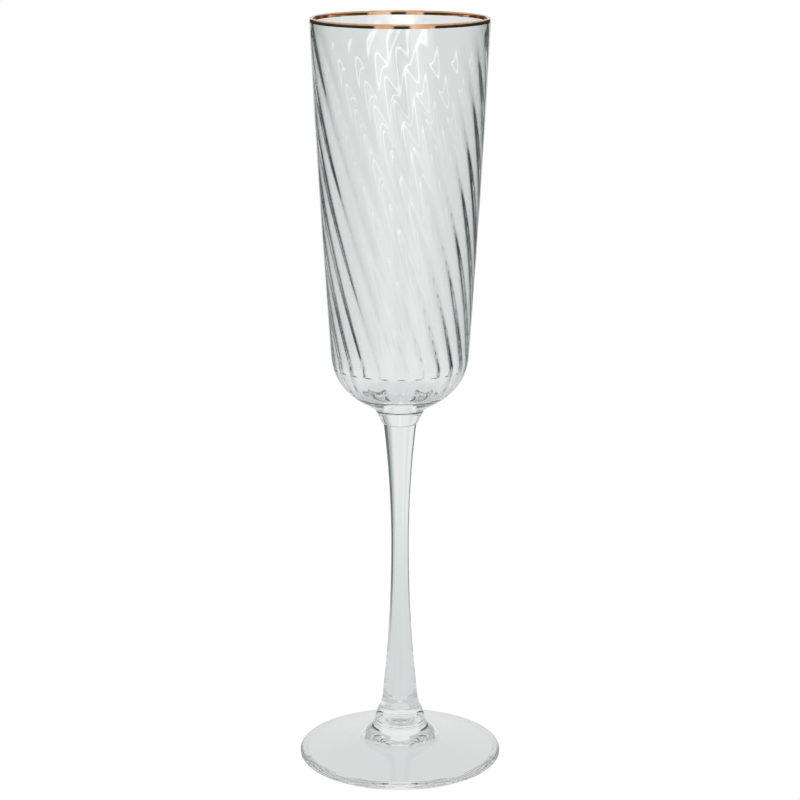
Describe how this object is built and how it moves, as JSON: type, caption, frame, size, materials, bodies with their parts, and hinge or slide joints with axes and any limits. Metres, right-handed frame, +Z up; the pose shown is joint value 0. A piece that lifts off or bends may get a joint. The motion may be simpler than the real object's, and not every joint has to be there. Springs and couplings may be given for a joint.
{
  "type": "champagne flute",
  "caption": "Tall champagne flute with a tapered bowl, swirled optic ribs inside, a slim waisted stem, a round foot and a gold lip band.",
  "frame": {"origin": "centre of the ring under the foot that the flute stands on", "axes": "+Z up along the flute's axis, from the foot to the lip"},
  "size_m": [0.0682, 0.0682, 0.25],
  "materials": {
    "foot_glass": "fire-polished clear glass",
    "stem_glass": "fire-polished clear glass",
    "bowl_glass": "fire-polished clear glass, optic ribs inside",
    "gold": "thin fired bright gold"
  },
  "bodies": {
    "root": {"foot": "foot_glass", "stem": "stem_glass", "bowl": "bowl_glass", "gold_rim": "gold"}
  },
  "joints": []
}
